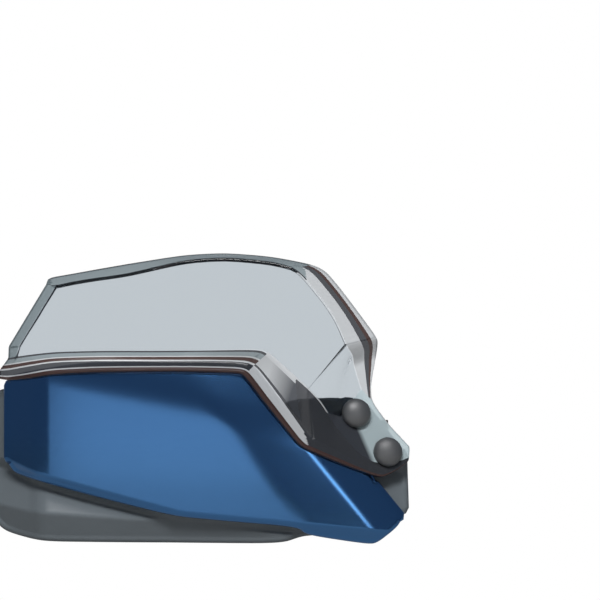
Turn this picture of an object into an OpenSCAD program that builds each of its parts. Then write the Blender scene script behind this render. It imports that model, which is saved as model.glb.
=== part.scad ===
// Motorcycle hand guard with a clear wind deflector, for a round handlebar.
// X runs along the handlebar, towards the middle of the bike. The rider sits at +Y and the road lies
// ahead at -Y. Z is up. The origin is the centre of the handlebar clamp, on the bar's axis.
// A depth is a distance ahead of the bar's axis, so a point of depth d lies at y = -d.

/* [Handlebar] */
// Radius of the handlebar
bar_r = 11.1; // [10:0.1:16]
// Distance from the clamp's centre to the end of the bar
bar_end = 235; // [225:1:240]
// Radius of the bore in the end of the bar
bar_bore_r = 8; // [7:0.1:9]

/* [Shape] */
// Depth of the guard's face at its most forward station
face_depth = 100.5; // [90:0.5:115]
// Radius of the face as seen from above
face_plan_r = 750; // [500:10:2000]
// Radius of the face as seen from the side
face_crown_r = 500; // [300:10:2000]
// Slope of the outboard corner, where the face turns back to the bar end
wrap_slope = 1; // [0.7:0.05:1.2]
// Slope that the upper facet adds to the face
upper_slope = 0.16; // [0.1:0.01:0.2]
// Slope that the inboard facet adds to the face
inboard_slope = 0.14; // [0.1:0.01:0.18]
// Slope that the sharp lower facet adds to the inboard one
cheek_slope = 0.24; // [0.18:0.01:0.28]
// Half width of the soft bends between the broad facets
facet_round = 13; // [8:1:16]
// Half width of the sharp creases
crease_round = 1.2; // [0.8:0.1:2]
// Slope of the bevel along the cover's upper edge
brow_slope = 0.5; // [0.3:0.05:0.7]
// Slope of the bevel along the cover's lower edge
chin_slope = 1.1; // [0.6:0.05:1.4]

/* [Base shell] */
// Wall thickness of the base shell
base_wall = 3; // [2.5:0.1:3.5]
// Distance of the base shell's face behind the cover's face
nest = 6.5; // [6.4:0.1:7]
// Slope of the ledge below the cover
ledge_slope = 0.7; // [0.4:0.05:0.9]
// Slope of the shell's lower facet
keel_slope = 1.2; // [0.8:0.05:1.6]
// Depth of the return wall round the base shell's edge
base_return = 9; // [6:0.5:14]
// Edge radius of the base shell
base_edge_r = 4; // [3.6:0.1:5]
// Radius of the lug that the bar-end bolt holds
lug_r = 17; // [14:0.5:20]
// Height of the ribs behind the shell
rib_h = 7; // [4:0.5:10]
// Thickness of each rib
rib_w = 2; // [1.6:0.1:3]

/* [Painted cover] */
// Wall thickness of the cover
cover_wall = 2.2; // [1.8:0.1:2.6]
// Edge radius of the cover
cover_edge_r = 3; // [2.8:0.1:4]
// Depth of the return wall round the cover's edge
cover_return = 1.5; // [1:0.25:2]
// Radius of the screw bosses behind the cover
boss_r = 4; // [3.5:0.1:5]
// Radius of the cover screws' thread
cover_screw_r = 1.75; // [1.5:0.05:2]

/* [Wind deflector] */
// Thickness of the clear sheet
sheet_t = 3; // [2:0.1:4]
// Clearance between the deflector's flange and the cover
flange_gap = 0.9; // [0.8:0.1:1.4]
// Depth of the panel behind the face's most forward line, at the panel's fold
panel_set_back = 8.5; // [7:0.5:11]
// Lean of the panel towards the rider
panel_lean = 0.18; // [0:0.01:0.3]
// Depth by which the rim's bevel turns back
rim_back = 5; // [2:0.5:8]
// Depth by which the lip beyond that bevel turns back
lip_back = 6; // [2:0.5:8]

/* [Fasteners] */
// Distance of the ear's face behind the guard's face, at the upper bolt
ear_set_back = 37; // [36.5:0.5:40]
// Radius of the deflector bolts
bolt_r = 3; // [2.5:0.5:4]
// Radius of the deflector bolts' button heads
bolt_head_r = 5.2; // [4.6:0.1:6]
// Clearance of a bolt in its hole, on the radius
bolt_gap = 0.3; // [0.1:0.1:0.6]
// Length of the rubber spacers between the ear and the deflector
spacer_l = 11; // [10:0.5:13]
// Radius of the rubber spacers
spacer_r = 7; // [6:0.5:9]
// Radius of the dome caps
cap_r = 10; // [9:0.25:12]
// Height of the dome caps
cap_h = 9; // [8:0.25:11]
// Distance between flat sides of the lock nuts
nut_flats = 10; // [8:0.5:13]

/* [Bracket] */
// Width of the handlebar clamp
clamp_w = 24; // [18:1:34]
// Wall of the clamp round the bar
clamp_wall = 7; // [5:0.5:10]
// Gap between the clamp's halves
clamp_split = 2; // [1:0.5:4]
// Radius of the clamp screws
clamp_screw_r = 3; // [2.5:0.5:4]
// Thickness of the arm's plate behind the ear
plate_t = 5; // [4:0.5:8]
// Thickness of the arm's web
web_t = 8; // [6:0.5:12]

/* [Bar end] */
// Radius of the bar-end weight
weight_r = 14; // [12:0.5:16]
// Length of the bar-end weight, between the bar and the shell's lug
weight_l = 28.5; // [20:0.5:40]
// Radius of the bar-end bolt
end_bolt_r = 4; // [3:0.5:5]
// Length of the rubber expander sleeve
sleeve_l = 36; // [20:1:50]
// Length of the threaded expander nut
expander_l = 12; // [8:0.5:18]

/* [Hidden] */
$fn = 48;

// Outline of the base shell from its outboard end to the inboard one, as the [x, z] of the lower and the
// upper point of each station
base_outline = [
    [[-266.5, -28], [-266.5, 38]],
    [[-263, -42], [-262.5, 42.5]],
    [[-253, -50], [-251, 46]],
    [[-227, -57.5], [-228, 52]],
    [[-180, -58.5], [-198, 56]],
    [[-120, -59], [-150, 57]],
    [[-60, -59.5], [-88, 56.5]],
    [[-44, -54], [-62, 34]],
    [[-20, -54.5], [-48, 38]],
    [[1, -55.5], [-14, 39]],
    [[12, -52], [-1, 36]],
    [[20, -46], [12, 19.5]],
    [[25.5, -41], [24.5, 3]]
];

// Outboard end of the shell. Beyond the grip station the shape is drawn out with the bar, from the length
// of that outline, and inboard of it the shape stays with the clamp.
shell_reach = bar_end + weight_l + base_wall;
grip_x = -60;
function at_x(x) = x > grip_x ? x
    : grip_x + (x - grip_x) * (shell_reach + grip_x) / (grip_x - base_outline[0][0].x);
function placed(points) = [for (p = points) [at_x(p.x), p.y]];
function placed_all(stations) = [for (s = stations) [for (v = s) is_list(v) ? [at_x(v.x), v.y] : v]];

// Stations of the shape, as [x, z], and the half widths of its small bends
crown_x = at_x(-90);
wrap_x = at_x(-227);
brow_z = 56;
groove_w = 8;
fold_z = 71;
panel_wrap = 0.35;
bevel_round = 2;
edge_round = 1;
keel_round = 1.5;
ear_round = 2;
upper_crease = placed([[-203, 54.4], [-110, 30.6]]);
inboard_crease = placed([[-102.7, 27.2], [-48.3, -45.6]]);
cheek_crease = placed([[-39.8, 0], [0.4, -51]]);
brow_diagonal = placed([[-85.7, 54.4], [-48.3, 6.8]]);
brow_foot = placed([[-48.3, 6.8], [0.4, -13.6]]);
chin_line = placed([[-250, -3], [-229, -12], [-196, -21], [-130, -38.8], [-45.5, -46.7], [30, -54]]);
gap_line = placed([[-266, -7], [-250, -11], [-231, -20], [-196, -30], [-136, -44.5], [-110, -47], [30, -60]]);
ledge_line = placed([[-266, -32], [-232, -39], [-165, -43.5], [-131, -44.5], [-74, -53], [-40, -58],
    [30, -64]]);

// Outline of the painted cover, likewise
cover_stations = placed_all([
    [[-250.5, -6], [-250.5, 50]],
    [[-246, -12.5], [-246, 53.5]],
    [[-231.5, -17.5], [-228, 58]],
    [[-196, -27], [-200, 62]],
    [[-136, -41.5], [-150, 63]],
    [[-110, -44], [-87, 63]],
    [[-49, -49], [-79, 60]],
    [[-43.5, -54.5], [-47, 18]],
    [[1, -60.5], [-28.5, 5.5]],
    [[6.5, -58.5], [-3, -7.5]],
    [[19, -49], [2, -12]],
    [[22, -43.5], [5, -17]]
]);
base_stations = placed_all(base_outline);
// Stations of the deflector: cut line, foot and fold of the step, inner and outer line of the rim,
// then the share of the tab's plane in the depth
sheet_stations = placed_all([
    [[-253, 52], [-252.5, 57], [-246.5, 65.5], [-221, 115.5], [-219.5, 118.5], 0],
    [[-246.5, 50.5], [-246.5, 57.5], [-242, 66.5], [-215, 114.5], [-217, 120], 0],
    [[-236.5, 52], [-235, 60], [-230, 68.5], [-205, 117.5], [-205.5, 123.2], 0],
    [[-219, 55.5], [-218, 63], [-215, 70], [-190, 120], [-190, 126], 0],
    [[-187.5, 57.5], [-186.5, 64], [-185, 70.8], [-167, 123], [-167, 130], 0],
    [[-151, 58], [-151, 64], [-150, 70.8], [-128, 132.5], [-128, 136.2], 0],
    [[-120, 58], [-119, 64], [-117, 71], [-100, 134.5], [-100, 137.6], 0],
    [[-90, 57], [-87.5, 63.5], [-76.5, 71.5], [-68, 131.5], [-68, 135.1], 0],
    [[-85.5, 54.5], [-79, 60.5], [-70.5, 68.5], [-51, 126.5], [-41, 130], 0],
    [[-74, 39], [-67, 45], [-57, 56.5], [-32, 103.5], [-20.7, 112.4], 0],
    [[-62, 24], [-56, 30], [-49, 49.5], [-24, 91], [-8, 95.5], 0],
    [[-48.5, 7], [-42, 10], [-43.5, 44.5], [-17, 74], [4, 79], 0],
    [[-38.5, 2.5], [-35, 8], [-34.5, 34], [-13, 68], [4, 74], 0.5],
    [[-28, -2], [-26, 4], [-27.5, 29], [-12.5, 62], [3, 67], 1],
    [[-12, -8.5], [-11, -4], [-10, 14], [-5, 38], [-0.5, 48], 1],
    [[0.5, -13.5], [1, -9.5], [1, 6], [-1.5, 24], [-0.3, 36.5], 1],
    [[7.5, -15], [8.5, -11.5], [10.5, 1], [9, 12], [12.2, 19.7], 1],
    [[17.7, -10.2], [18.3, -8], [20, -1], [20, 5], [20, 11.5], 1],
    [[24.8, -4.5], [25.2, -3.5], [25.8, 0], [25.8, 3], [25.6, 5.4], 1]
]);

// Bolts through the ear, as the [x, z] where each axis meets the ear's face
ear_depth = face_depth - ear_set_back;
upper_bolt = [-11.7, 27.4];
lower_bolt = [9.8, 1];
ear_slope = [-0.3, -0.28];
ear_normal = [-ear_slope.x, -1, -ear_slope.y] / norm([ear_slope.x, 1, ear_slope.y]);
cover_screw_places = placed([[-205, 30], [-205, -8], [-95, -20], [-30, -28]]);

// Subdivisions between two stations, and across a shell
along = 4;
across = 10;

// General functions
function lerp(a, b, t) = a + (b - a) * t;
// Zero below the crease, the distance above it, and a round of half width k between them
function hinge(t, k) = t <= -k ? 0 : t >= k ? t : (t + k) * (t + k) / (4 * k);
function soft_min(a, b, k) = min(a, b) - pow(max(0, k - abs(a - b)), 2) / (4 * k);
// Distance of a point above a line through two points
function above(line, x, z) = let(v = line[1] - line[0])
    (v.x * (z - line[0].y) - v.y * (x - line[0].x)) / norm(v);

// Depth of the guard's face, without the bevels along its edges
function face(x, z) = face_depth
    - pow(x - crown_x, 2) / (2 * face_plan_r)
    - z * z / (2 * face_crown_r)
    - wrap_slope * hinge(wrap_x - x, facet_round / 2)
    - upper_slope * hinge(above(upper_crease, x, z), facet_round)
    - inboard_slope * hinge(above(inboard_crease, x, z), facet_round)
    - cheek_slope * hinge(above(cheek_crease, x, z), crease_round);
// Distance past the crease of the bevel along the upper edge, and the drop of that bevel
function past_brow(x, z) = max(z - brow_z, min(above(brow_diagonal, x, z), above(brow_foot, x, z)));
function brow(x, z) = brow_slope * hinge(past_brow(x, z), bevel_round);
// Groove of the base shell that clears the cover's upper edge
function groove(x, z) = let(t = past_brow(x, z))
    brow_slope * (hinge(t, bevel_round) - 2 * hinge(t - groove_w, edge_round)
    + hinge(t - 2 * groove_w, bevel_round));
function chin(x, z) = chin_slope * hinge(lookup(x, chin_line) - z, edge_round);
// Depth of the painted cover's outer face
function cover_depth(x, z) = face(x, z) - brow(x, z) - chin(x, z);
function ear_plane(x, z) = ear_depth + ear_slope.x * (x - upper_bolt.x) + ear_slope.y * (z - upper_bolt.y);
// Depth of the base shell's outer face
function base_depth(x, z) = let(below = hinge(lookup(x, gap_line) - z, edge_round))
    soft_min(ear_plane(x, z), face(x, z) - nest * face_stretch(x, z) - groove(x, z) - chin(x, z)
    + (chin_slope + ledge_slope) * below
    - keel_slope * hinge(lookup(x, ledge_line) - z, keel_round), ear_round);
// Depths of the deflector's flange, panel and tab
function flange_depth(x, z) = cover_depth(x, z) + (flange_gap + sheet_t) * cover_stretch(x, z);
function panel_depth(x, z) = face_depth - pow(x - crown_x, 2) / (2 * face_plan_r)
    - panel_set_back - panel_lean * (z - fold_z) - panel_wrap * hinge(wrap_x - x, facet_round);
tab_lift = (spacer_l + sheet_t) / -ear_normal.y;
function tab_depth(x, z) = ear_plane(x, z) + tab_lift;

// Distance along Y that one unit of wall takes up on a sloping face
step = 0.5;
function stretch(d, dx, dz) = norm([dx - d, dz - d, step]) / step;
function face_stretch(x, z) = stretch(face(x, z), face(x + step, z), face(x, z + step));
function cover_stretch(x, z) = stretch(cover_depth(x, z), cover_depth(x + step, z), cover_depth(x, z + step));
function base_stretch(x, z) = stretch(base_depth(x, z), base_depth(x + step, z), base_depth(x, z + step));

// Subdivides a line of values between its stations, and rounds its corners
function resample(line) = [for (i = [0 : len(line) - 2]) for (k = [0 : along - 1])
    lerp(line[i], line[i + 1], k / along), line[len(line) - 1]];
function smooth(line, n) = n == 0 ? line : smooth([for (i = [0 : len(line) - 1])
    i == 0 || i == len(line) - 1 ? line[i] : (line[i - 1] + 2 * line[i] + line[i + 1]) / 4], n - 1);
function rail(stations, k) = smooth(resample([for (s = stations) s[k]]), 2);
// A line of [x, z] points moved to its left by a distance
function inset(line, r) = let(n = len(line) - 1) [for (i = [0 : n])
    let(v = line[min(i + 1, n)] - line[max(i - 1, 0)])
    line[i] + (i == 0 || i == n ? [0, r] : [-v.y, v.x] * r / norm(v))];
// A line whose ends are moved towards each other, and the points between them in proportion
function squeezed(line, r) = let(a = line[0].x, b = line[len(line) - 1].x)
    [for (p = line) [a + r + (p.x - a) * (b - a - 2 * r) / (b - a), p.y]];
// Rows of [x, z] between the lower and the upper line of the stations, inset by the edge's radius
function plan_rows(stations, r) = let(
    low = squeezed(inset(rail(stations, 0), r), r),
    high = squeezed(inset(rail(stations, 1), -r), r))
    [for (j = [0 : across]) [for (i = [0 : len(low) - 1]) lerp(low[i], high[i], j / across)]];

// Closed loop of the border of a grid, anticlockwise as seen from the front
function border(rows) = let(m = len(rows[0]) - 1, n = len(rows) - 1) concat(
    [for (i = [0 : m - 1]) rows[0][i]],
    [for (j = [0 : n - 1]) rows[j][m]],
    [for (i = [0 : m - 1]) rows[n][m - i]],
    [for (j = [0 : n - 1]) rows[n - j][0]]);
function unit(v) = v / norm(v);
function loop_normals(loop) = let(c = len(loop)) [for (i = [0 : c - 1])
    let(t = loop[(i + 1) % c] - loop[(i + c - 1) % c]) unit([t.z, 0, -t.x])];

// A loop moved out by a distance and back by another
function moved(loop, normals, out, back) = [for (i = [0 : len(loop) - 1])
    loop[i] + normals[i] * out + [0, back, 0]];
// Rings of an edge: a quarter round and a return wall that a function of the index may reshape
edge_turns = [25, 50, 75];
function edge_rings(loop, normals, r, back) = concat(
    [for (a = edge_turns) moved(loop, normals, r * sin(a), r * (1 - cos(a)))],
    [moved(loop, normals, r, r), moved(loop, normals, r, r + back)]);

// Faces of a grid of m by n cells whose points start at index s
function grid_faces(m, n, s, flip) = [for (j = [0 : n - 1]) for (i = [0 : m - 1])
    let(a = s + j * (m + 1) + i, b = a + 1, c = a + m + 2, d = a + m + 1)
    for (f = [[a, b, c], [a, c, d]]) flip ? [f[0], f[2], f[1]] : f];
function border_indices(m, n, s) = concat(
    [for (i = [0 : m - 1]) s + i],
    [for (j = [0 : n - 1]) s + j * (m + 1) + m],
    [for (i = [0 : m - 1]) s + n * (m + 1) + m - i],
    [for (j = [0 : n - 1]) s + (n - j) * (m + 1)]);
// Faces between two closed loops of indices
function ring_faces(p, q, flip) = let(c = len(p)) [for (i = [0 : c - 1])
    let(a = p[i], b = p[(i + 1) % c], d = q[i], e = q[(i + 1) % c])
    for (f = [[a, d, b], [b, d, e]]) flip ? [f[0], f[2], f[1]] : f];
function flat(lists) = [for (l = lists) for (p = l) p];

// Closed wall between an outer and an inner grid, with the rings round the edge of each
module shell(outer, inner, outer_rings, inner_rings) {
    m = len(outer[0]) - 1;
    n = len(outer) - 1;
    c = 2 * (m + n);
    k = len(outer_rings);
    grid_size = (m + 1) * (n + 1);
    points = concat(flat(outer), flat(inner), flat(outer_rings), flat(inner_rings));
    rings_at = 2 * grid_size;
    function ring(side, i) = i < 0 ? border_indices(m, n, side * grid_size)
        : [for (q = [0 : c - 1]) rings_at + (side * k + i) * c + q];
    polyhedron(points = points, faces = concat(
        grid_faces(m, n, 0, true),
        grid_faces(m, n, grid_size, false),
        flat([for (i = [0 : 1 : k - 1]) ring_faces(ring(0, i - 1), ring(0, i), true)]),
        flat([for (i = [0 : 1 : k - 1]) ring_faces(ring(1, i - 1), ring(1, i), false)]),
        ring_faces(ring(0, k - 1), ring(1, k - 1), true)), convexity = 10);
}

// A cylinder from a point along a direction
module rod(p, dir, r, h) {
    translate(p) rotate([0, acos(dir.z / norm(dir)), atan2(dir.y, dir.x)]) cylinder(r = r, h = h);
}
// Places its children on a bolt's axis, with +Z out of the ear's face and the face at zero
module on_ear(place) {
    translate(on_plane(place)) rotate([0, ear_tilt, ear_turn]) children();
}
// Step from the upper bolt to the lower one, and its turn about the bolts' axis
function on_plane(p) = [p.x, -ear_plane(p.x, p.y), p.y];
bolt_span = on_plane(lower_bolt) - on_plane(upper_bolt);
ear_turn = atan2(ear_normal.y, ear_normal.x);
ear_tilt = acos(ear_normal.z);
bolt_turn = atan2(bolt_span * [-sin(ear_turn), cos(ear_turn), 0],
    bolt_span * [cos(ear_tilt) * cos(ear_turn), cos(ear_tilt) * sin(ear_turn), -sin(ear_tilt)]);
tab_back = spacer_l;
tab_front = spacer_l + sheet_t;
// Clearance between the ear's back and the arm's plate, and the plate's back
plate_gap = 0.8;
plate_back = base_wall + plate_gap + plate_t;
// How far a cut runs past the faces that it opens
past = 4;
// Small sizes of the fasteners
cup_floor = 1.2;
cup_edge = 0.3;
cup_h = 3.4;
cap_wall = 1.4;
cap_skirt = 3;
bolt_head_h = 3.3;
nut_flange = 1.2;
nut_rim = 2;
nut_collar = 1.5;
nut_h = 6;
bolt_over = 2;
bolt_end = plate_back + nut_h + bolt_over;
bolt_socket_r = 2.3;
bolt_socket_d = 2;
spacer_play = 0.05;
spacer_waist = 1;
plate_r = 7;
plate_side = 6;
web_sink = 1;
nut_room = 20;
clamp_ear_d = 9;
clamp_ear_z = 5.5;
clamp_head_r = clamp_screw_r + 2;
screw_wall = 2.5;
screw_z = bar_r + clamp_screw_r + screw_wall;
half_cut = screw_z + clamp_ear_z + past;
washer_t = 3;
washer_rim = 3;
washer_chamfer = 2;
end_bolt_head_r = end_bolt_r + 2.7;
end_bolt_head_h = 5;
weight_edge = 1;
weight_groove = 0.5;
nut_taper = 0.7;
sleeve_gap = 0.2;
// Share of a screw head's radius that its hexagon socket takes
socket_share = 0.5;
// Seats of the cover screws behind the shell, the gap in front of the shell, and the floor of the thread
seat_h = 2.5;
seat_r = 5;
seat_rim = 1.4;
screw_head_h = 2.2;
boss_gap = 0.3;
thread_floor = 0.6;
screw_play = 1;
// Ribs behind the shell
rib_places = [for (x = [-222, -189, -156, -123, -90, -62]) at_x(x)];
rib_foot = 3;
rib_top = 9;
rib_steps = 8;
rib_sink = 1;
// Where the return wall starts to deepen towards the bar end, its rings there, and how near a point
// lies to the shell's outboard end to be on the lug
lug_blend_x = at_x(-232);
lug_rings = 3;
near = 0.01;
// Deflector: place of the knee above the fold, outward kink of its outboard side, and the lip in the rim
knee_share = 0.16;
side_kink = 4;
lip_share = 0.47;

// Outer and inner grid of a wall over rows of [x, z]
function cover_grid(rows, wall) = [for (row = rows) [for (p = row)
    [p.x, wall * cover_stretch(p.x, p.y) - cover_depth(p.x, p.y), p.y]]];
function base_grid(rows, wall) = [for (row = rows) [for (p = row)
    [p.x, wall * base_stretch(p.x, p.y) - base_depth(p.x, p.y), p.y]]];

// Places of the cover screws along Y: the boss's end, the shell's seat and the tip of the screw
function boss_end(p) = -base_depth(p.x, p.y) - boss_gap
    - boss_r * sqrt(pow(base_stretch(p.x, p.y), 2) - 1);
function screw_seat(p) = base_wall * base_stretch(p.x, p.y) - base_depth(p.x, p.y) + seat_h;
function screw_tip(p) = cover_wall - cover_depth(p.x, p.y);
module along_y(p, r, y0, y1) {
    translate([p.x, y0, p.y]) rotate([-90, 0, 0]) cylinder(r = r, h = y1 - y0);
}

module painted_cover() {
    rows = plan_rows(cover_stations, cover_edge_r);
    outer = cover_grid(rows, 0);
    inner = cover_grid(rows, cover_wall);
    normals = loop_normals(border(outer));
    color("royalblue") difference() {
        union() {
            shell(outer, inner, edge_rings(border(outer), normals, cover_edge_r, cover_return),
                edge_rings(border(inner), normals, cover_edge_r - cover_wall, cover_return));
            for (p = cover_screw_places) along_y(p, boss_r, screw_tip(p), boss_end(p));
        }
        for (p = cover_screw_places)
            along_y(p, cover_screw_r, screw_tip(p) + thread_floor, boss_end(p) + past);
    }
}

// The outboard end of the shell's edge: the return wall deepens towards the bar end and closes on the lug
function lug_share(x) = pow(min(1, max(0, (lug_blend_x - x) / (shell_reach + lug_blend_x - base_edge_r))), 2);
function lug_turn(z) = let(low = base_stations[0][0].y, high = base_stations[0][1].y)
    180 * (z - low) / (high - low) - 90;
function lug_point(p, loop_p, r) = loop_p.x < base_edge_r - shell_reach + near
    ? let(a = max(-90, min(90, lug_turn(loop_p.z)))) [p.x, r * cos(a), r * sin(a)]
    : lerp(p, [p.x, 0, sign(p.z) * r], lug_share(loop_p.x));
function base_rings(loop, normals, wall) = let(
    r = base_edge_r - wall,
    edge = edge_rings(loop, normals, r, base_return),
    start = moved(loop, normals, r, r),
    last = edge[len(edge) - 1],
    ends = [for (i = [0 : len(loop) - 1]) lug_point(last[i], loop[i], lug_r - wall)])
    concat([for (k = [0 : len(edge) - 2]) edge[k]],
        [for (k = [1 : lug_rings]) [for (i = [0 : len(loop) - 1]) lerp(start[i], ends[i], k / lug_rings)]]);

module rib(x) {
    low = lookup(x, gap_line) + rib_foot;
    high = lookup(x, [for (s = base_stations) s[1]]) - rib_top;
    heights = [for (k = [0 : rib_steps]) lerp(low, high, k / rib_steps)];
    function back(z) = base_wall * base_stretch(x, z) - base_depth(x, z);
    translate([x - rib_w / 2, 0, 0]) rotate([90, 0, 90]) linear_extrude(rib_w) polygon(concat(
        [for (z = heights) [back(z) - rib_sink, z]],
        [for (k = [rib_steps : -1 : 0]) let(z = heights[k])
            [back(z) + (k == 0 || k == rib_steps ? rib_h / 6 : rib_h), z]]));
}

module base_shell() {
    rows = plan_rows(base_stations, base_edge_r);
    outer = base_grid(rows, 0);
    inner = base_grid(rows, base_wall);
    normals = loop_normals(border(outer));
    color("dimgray") difference() {
        union() {
            shell(outer, inner, base_rings(border(outer), normals, 0),
                base_rings(border(inner), normals, base_wall));
            for (x = rib_places) rib(x);
            for (p = cover_screw_places)
                along_y(p, seat_r, -base_depth(p.x, p.y) + base_wall / 2, screw_seat(p));
        }
        for (p = cover_screw_places)
            along_y(p, cover_screw_r + bolt_gap, -base_depth(p.x, p.y) - past, screw_seat(p) + past);
        for (p = [upper_bolt, lower_bolt]) on_ear(p) translate([0, 0, -base_wall - past])
            cylinder(r = bolt_r + bolt_gap, h = base_wall + 2 * past);
        rod([-shell_reach - past, 0, 0], [1, 0, 0], end_bolt_r + bolt_gap, base_wall + 2 * past);
    }
}

// Rows of the deflector's outer face, from the cut line to the rim's edge
function mixed(a, b, share) = [for (i = [0 : len(a) - 1]) lerp(a[i], b[i], share[i])];
function at_depth(line, d) = [for (i = [0 : len(line) - 1]) [line[i].x, -d[i], line[i].y]];
function sheet_grid() = let(
    cut = rail(sheet_stations, 0),
    foot = rail(sheet_stations, 1),
    fold = rail(sheet_stations, 2),
    bend = rail(sheet_stations, 3),
    edge = rail(sheet_stations, 4),
    share = resample([for (s = sheet_stations) s[5]]),
    m = len(cut) - 1,
    end_back = smooth([for (i = [0 : m]) rim_back * max(0, 1 - i / along)], 1),
    kink = [for (i = [0 : m]) i < 2 * along ? side_kink * (1 - i / (2 * along)) : 0],
    knee = [for (i = [0 : m]) lerp(fold[i], bend[i], knee_share) - [kink[i], 0]],
    lip = [for (i = [0 : m]) lerp(bend[i], edge[i], lip_share)],
    low = function(p, i) let(on_cover = flange_depth(p.x, p.y))
        lerp(on_cover, max(on_cover, tab_depth(p.x, p.y)), share[i]),
    high = function(p, i, back)
        lerp(panel_depth(p.x, p.y) - max(back, end_back[i]), tab_depth(p.x, p.y), share[i]),
    rows = [
        at_depth(cut, [for (i = [0 : m]) low(cut[i], i)]),
        at_depth(foot, [for (i = [0 : m]) low(foot[i], i)]),
        at_depth(fold, [for (i = [0 : m]) high(fold[i], i, 0)]),
        at_depth(knee, [for (i = [0 : m]) high(knee[i], i, 0)]),
        at_depth(bend, [for (i = [0 : m]) high(bend[i], i, 0)]),
        at_depth(lip, [for (i = [0 : m]) high(lip[i], i, rim_back)]),
        at_depth(edge, [for (i = [0 : m]) high(edge[i], i, rim_back + lip_back)])
    ],
    cells = [1, 2, 1, 3, 1, 1])
    concat([for (k = [0 : len(cells) - 1]) for (q = [0 : cells[k] - 1])
        [for (i = [0 : m]) lerp(rows[k][i], rows[k + 1][i], q / cells[k])]], [rows[len(rows) - 1]]);
function grid_normal(g, j, i) = let(m = len(g[0]) - 1, n = len(g) - 1) unit(cross(
    g[j][min(i + 1, m)] - g[j][max(i - 1, 0)], g[min(j + 1, n)][i] - g[max(j - 1, 0)][i]));

module wind_deflector() {
    outer = sheet_grid();
    inner = [for (j = [0 : len(outer) - 1]) [for (i = [0 : len(outer[0]) - 1])
        outer[j][i] - sheet_t * grid_normal(outer, j, i)]];
    color([0.75, 0.8, 0.84, 0.6]) difference() {
        shell(outer, inner, [], []);
        for (p = [upper_bolt, lower_bolt]) on_ear(p) translate([0, 0, tab_back - past])
            cylinder(r = bolt_r + bolt_gap, h = sheet_t + 2 * past);
    }
}

// Cup under a bolt's head, with the rib that holds the dome cap
module cap_cup(place) {
    color([0.1, 0.1, 0.1]) on_ear(place) translate([0, 0, tab_front]) rotate_extrude() polygon([
        [bolt_r + bolt_gap, 0], [cap_r - 2 * cup_edge, 0], [cap_r - cup_edge, cup_edge],
        [cap_r - cup_edge, cup_floor], [cap_r - cap_wall - cup_edge, cup_floor],
        [cap_r - cap_wall - cup_edge, cup_h], [bolt_head_r + bolt_gap, cup_h],
        [bolt_head_r + bolt_gap, cup_floor], [bolt_r + bolt_gap, cup_floor]]);
}
module cap_cup_upper() cap_cup(upper_bolt);
module cap_cup_lower() cap_cup(lower_bolt);

// Hollow dome snapped over the cup
module dome_cap(place) {
    skirt = cup_floor + spacer_play;
    dome = cap_h - cap_skirt;
    color([0.12, 0.12, 0.12]) on_ear(place) translate([0, 0, tab_front]) rotate_extrude() polygon(concat(
        [[cap_r - cap_wall, skirt], [cap_r - cup_edge, skirt], [cap_r, skirt + cup_edge]],
        [for (a = [0 : 10 : 90]) [cap_r * cos(a), cap_skirt + dome * sin(a)]],
        [for (a = [90 : -10 : 0]) [(cap_r - cap_wall) * cos(a), cap_skirt + (dome - cap_wall) * sin(a)]]));
}
module dome_cap_upper() dome_cap(upper_bolt);
module dome_cap_lower() dome_cap(lower_bolt);

// Button-head bolt with a hexagon socket
module deflector_bolt(place) {
    color("silver") on_ear(place) {
        difference() {
            translate([0, 0, tab_front + cup_floor]) rotate_extrude() polygon(concat(
                [[0, 0], [bolt_head_r, 0]],
                [for (a = [10 : 16 : 90]) [bolt_head_r * cos(a), bolt_head_h * sin(a)]],
                [[0, bolt_head_h]]));
            translate([0, 0, tab_front + cup_floor + bolt_head_h - bolt_socket_d])
                cylinder(r = bolt_socket_r, h = past, $fn = 6);
        }
        translate([0, 0, -bolt_end]) cylinder(r = bolt_r, h = bolt_end + tab_front + cup_floor);
    }
}
module deflector_bolt_upper() deflector_bolt(upper_bolt);
module deflector_bolt_lower() deflector_bolt(lower_bolt);

// Rubber spacer with a waist
module tab_spacer(place) {
    color([0.08, 0.08, 0.08]) on_ear(place) rotate_extrude() polygon([
        [bolt_r + bolt_gap, spacer_play], [spacer_r, spacer_play], [spacer_r, 2 * spacer_waist],
        [spacer_r - spacer_waist, 3 * spacer_waist], [spacer_r - spacer_waist, spacer_l - 3 * spacer_waist],
        [spacer_r, spacer_l - 2 * spacer_waist], [spacer_r, spacer_l - spacer_play],
        [bolt_r + bolt_gap, spacer_l - spacer_play]]);
}
module tab_spacer_upper() tab_spacer(upper_bolt);
module tab_spacer_lower() tab_spacer(lower_bolt);

// Flanged lock nut behind the arm's plate
module lock_nut(place) {
    color("silver") on_ear(place) translate([0, 0, -plate_back]) mirror([0, 0, 1]) difference() {
        union() {
            cylinder(r = nut_flats / 2 + nut_rim, h = nut_flange);
            cylinder(r = nut_flats / sqrt(3), h = nut_h - nut_collar, $fn = 6);
            cylinder(r = nut_flats / 2 - nut_collar / 2, h = nut_h);
        }
        translate([0, 0, -past]) cylinder(r = bolt_r, h = nut_h + 2 * past);
    }
}
module lock_nut_upper() lock_nut(upper_bolt);
module lock_nut_lower() lock_nut(lower_bolt);

// One half of the handlebar clamp, on the side of the bar that faces dir
module clamp_half(dir) {
    difference() {
        union() {
            rod([-clamp_w / 2, 0, 0], [1, 0, 0], bar_r + clamp_wall, clamp_w);
            translate([-clamp_w / 2, -clamp_ear_d, -screw_z - clamp_ear_z])
                cube([clamp_w, 2 * clamp_ear_d, 2 * (screw_z + clamp_ear_z)]);
        }
        rod([-clamp_w, 0, 0], [1, 0, 0], bar_r, 2 * clamp_w);
        translate([-clamp_w, dir > 0 ? clamp_split / 2 - half_cut : -clamp_split / 2, -half_cut])
            cube([2 * clamp_w, half_cut, 2 * half_cut]);
    }
}

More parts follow.
